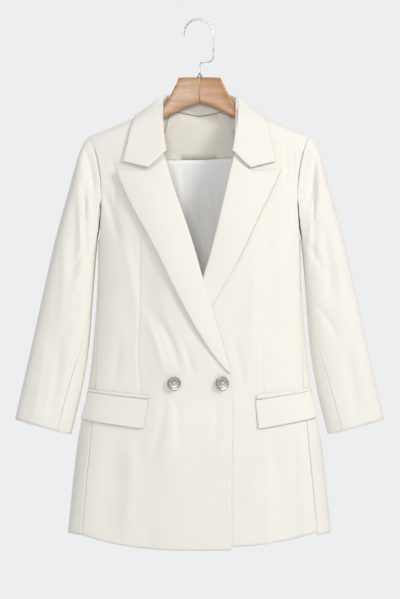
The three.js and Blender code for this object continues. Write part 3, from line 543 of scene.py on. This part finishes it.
# Dressing the garment
SHELL_LEVELS = 3
SMALL_LEVELS = 1
for side in ("right", "left"):
    cloth_piece(f"front_{side}", SHELL_LEVELS, front_way, CLOTH, "cloth")
    cloth_piece(f"back_{side}", SHELL_LEVELS, back_way, CLOTH, "cloth")
    cloth_piece(f"side_{side}", SHELL_LEVELS, side_way, CLOTH, "cloth")
    cloth_piece(f"lapel_{side}", SHELL_LEVELS, front_cover_way, CLOTH, "cloth")
    cloth_piece(f"welt_{side}", SHELL_LEVELS, front_cover_way, CLOTH, "cloth")
    cloth_piece(f"flap_{side}", SHELL_LEVELS, front_cover_way, CLOTH, "cloth")
    for part in ("sleeve_top", "sleeve_under"):
        name = f"{part}_{side}"
        cloth_piece(name, SHELL_LEVELS, sleeve_way, CLOTH, "cloth")
cloth_piece("collar", SHELL_LEVELS, still, CLOTH, "cloth")
cloth_piece("neck_facing", SMALL_LEVELS, still, FACING, "facing")
cloth_piece("back_lining", SHELL_LEVELS, lining_way, LINING, "lining")

# Hanger
# The right arm wears the copy painted lighter and the left arm the copy painted darker: painted light and
# painted shade, not two woods
hard_piece("hanger_arm_right", 3, math.radians(60), 0.75, WOOD_PAINTED_LIT, "wood_light")
hard_piece("hanger_arm_left", 3, math.radians(60), 0.75, WOOD_PAINTED_SHADE, "wood_dark")
hard_piece("hanger_ferrule", 2, math.radians(40), 0.7, STEEL, "steel")
hard_piece("hanger_hook", 2, math.radians(70), 0.9, STEEL, "steel")


# Buttons: a beaded metal setting, a ring of small stones and a large cut stone
BUTTON_RADIUS = 12 * MM
RING_RADIUS = 7.4 * MM
RING_STONES = 14
STONE_RADIUS = 1.5 * MM
CENTRE_RADIUS = 3.5 * MM
BEADS = 36
SHANK = 1.9 * MM


def spun(bm, profile, steps):
    """A profile of (radius, height) pairs turned round the button's axis, which points to -Y."""
    verts = [bm.verts.new((radius, -height, 0)) for radius, height in profile]
    edges = [bm.edges.new(pair) for pair in zip(verts, verts[1:])]
    bmesh.ops.spin(
        bm, geom=verts + edges, cent=(0, 0, 0), axis=(0, 1, 0), angle=math.tau, steps=steps, use_merge=True
    )
    bmesh.ops.remove_doubles(bm, verts=bm.verts, dist=0.001 * MM)


def cut_stone(bm, radius, height, place, turn):
    """A round brilliant's crown: eight sides, a flat table and a girdle."""
    made_stone = bmesh.ops.create_cone(
        bm, cap_ends=True, segments=8, radius1=radius, radius2=radius * 0.58, depth=height
    )
    facing_front = Matrix.Rotation(math.radians(90), 4, "X")
    matrix = Matrix.Translation(place) @ facing_front @ Matrix.Rotation(turn, 4, "Z")
    bmesh.ops.transform(bm, matrix=matrix, verts=made_stone["verts"])


def mesh_from(bm, name):
    bmesh.ops.recalc_face_normals(bm, faces=bm.faces)
    mesh = bpy.data.meshes.new(name)
    bm.to_mesh(mesh)
    bm.free()
    return mesh


def button(node):
    low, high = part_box(node)
    centre = Vector(((low[0] + high[0]) / 2, high[1] - SHANK, (low[2] + high[2]) / 2))
    height = high[1] - low[1] - SHANK
    metal_work = bmesh.new()
    spun(metal_work, [
        (0, -SHANK), (3.2 * MM, -SHANK), (3.2 * MM, 1.0 * MM), (BUTTON_RADIUS * 0.86, 1.3 * MM),
        (BUTTON_RADIUS * 0.97, 2.2 * MM), (BUTTON_RADIUS * 0.975, height * 0.8),
        (BUTTON_RADIUS * 0.9, height * 0.93),
        (BUTTON_RADIUS * 0.82, height * 0.8), (BUTTON_RADIUS * 0.52, height * 0.74), (0, height * 0.7),
    ], 48)
    for i in range(BEADS):
        angle = math.tau * i / BEADS
        bead = bmesh.ops.create_icosphere(metal_work, subdivisions=1, radius=0.85 * MM)
        place = Vector((math.cos(angle), 0, math.sin(angle))) * (BUTTON_RADIUS - 0.9 * MM)
        place.y = -height * 0.84
        bmesh.ops.translate(metal_work, vec=place, verts=bead["verts"])
    for i in range(RING_STONES):
        angle = math.tau * (i + 0.5) / RING_STONES
        prong = bmesh.ops.create_icosphere(metal_work, subdivisions=1, radius=0.42 * MM)
        place = Vector((math.cos(angle), 0, math.sin(angle))) * RING_RADIUS
        place.y = -height * 0.98
        bmesh.ops.translate(metal_work, vec=place, verts=prong["verts"])
    bmesh.ops.translate(metal_work, vec=centre, verts=metal_work.verts)
    add_object(node + "_setting", mesh_from(metal_work, node + "_setting"), SETTING, "setting", node)
    stones = bmesh.new()
    for i in range(RING_STONES):
        angle = math.tau * i / RING_STONES
        place = Vector((math.cos(angle) * RING_RADIUS, -height * 0.86, math.sin(angle) * RING_RADIUS))
        cut_stone(stones, STONE_RADIUS, 1.3 * MM, place, rng.uniform(0, 0.7))
    cut_stone(stones, CENTRE_RADIUS, 2.0 * MM, Vector((0, -height - 0.4 * MM, 0)), 0.2)
    cut_stone(stones, CENTRE_RADIUS * 0.56, 0.5 * MM, Vector((0, -height - 1.6 * MM, 0)), 0.6)
    bmesh.ops.translate(stones, vec=centre, verts=stones.verts)
    gems = add_object(node + "_gems", mesh_from(stones, node + "_gems"), CRYSTAL, "crystal", node + "_stone")
    for polygon in gems.data.polygons:
        polygon.use_smooth = False


for node in ("button_outer", "button_edge"):
    button(node)


# Floor and light
FLOOR_Z = -1.34
FLOOR_HALF = 1.4


def stage_floor():
    bm = bmesh.new()
    bmesh.ops.create_grid(bm, x_segments=1, y_segments=1, size=FLOOR_HALF)
    bmesh.ops.translate(bm, vec=(0, 0, FLOOR_Z), verts=bm.verts)
    mesh = mesh_from(bm, "floor")
    floor = bpy.data.objects.new("floor", mesh)
    material, tree, shader = new_material("pale_floor")
    shader.inputs["Base Color"].default_value = (0.8, 0.8, 0.8, 1)
    shader.inputs["Roughness"].default_value = 0.9
    mesh.materials.append(material)
    bpy.context.collection.objects.link(floor)


def area_light(name, place, aim, size, power, colour):
    data = bpy.data.lights.new(name, "AREA")
    data.size = size
    data.energy = power
    data.color = colour
    light = bpy.data.objects.new(name, data)
    light.location = place
    light.rotation_euler = (Vector(aim) - Vector(place)).to_track_quat("-Z", "Y").to_euler()
    bpy.context.collection.objects.link(light)


def light_room():
    middle = (0, 0, -0.48)
    area_light("key", (1.9, -1.9, 1.0), middle, 0.8, 42, (1.0, 0.985, 0.96))
    area_light("fill", (-0.3, -2.9, 0.1), middle, 0.7, 25, (0.985, 0.99, 1.0))
    area_light("back", (-1.2, 2.4, 0.8), middle, 1.6, 34, (1.0, 1.0, 1.0))
    world = bpy.data.worlds.new("studio")
    world.use_nodes = True
    tree = world.node_tree
    ambient = tree.nodes["Background"]
    ambient.inputs["Color"].default_value = (0.86, 0.87, 0.885, 1)
    ambient.inputs["Strength"].default_value = 0.55
    seen = tree.nodes.new("ShaderNodeBackground")
    seen.inputs["Color"].default_value = (0.845, 0.85, 0.86, 1)
    ray = tree.nodes.new("ShaderNodeLightPath")
    choice = tree.nodes.new("ShaderNodeMixShader")
    tree.links.new(ray.outputs["Is Camera Ray"], choice.inputs[0])
    tree.links.new(ambient.outputs[0], choice.inputs[1])
    tree.links.new(seen.outputs[0], choice.inputs[2])
    tree.links.new(choice.outputs[0], tree.nodes["World Output"].inputs["Surface"])
    bpy.context.scene.world = world
    bpy.context.scene.view_settings.view_transform = "Standard"


stage_floor()
light_room()
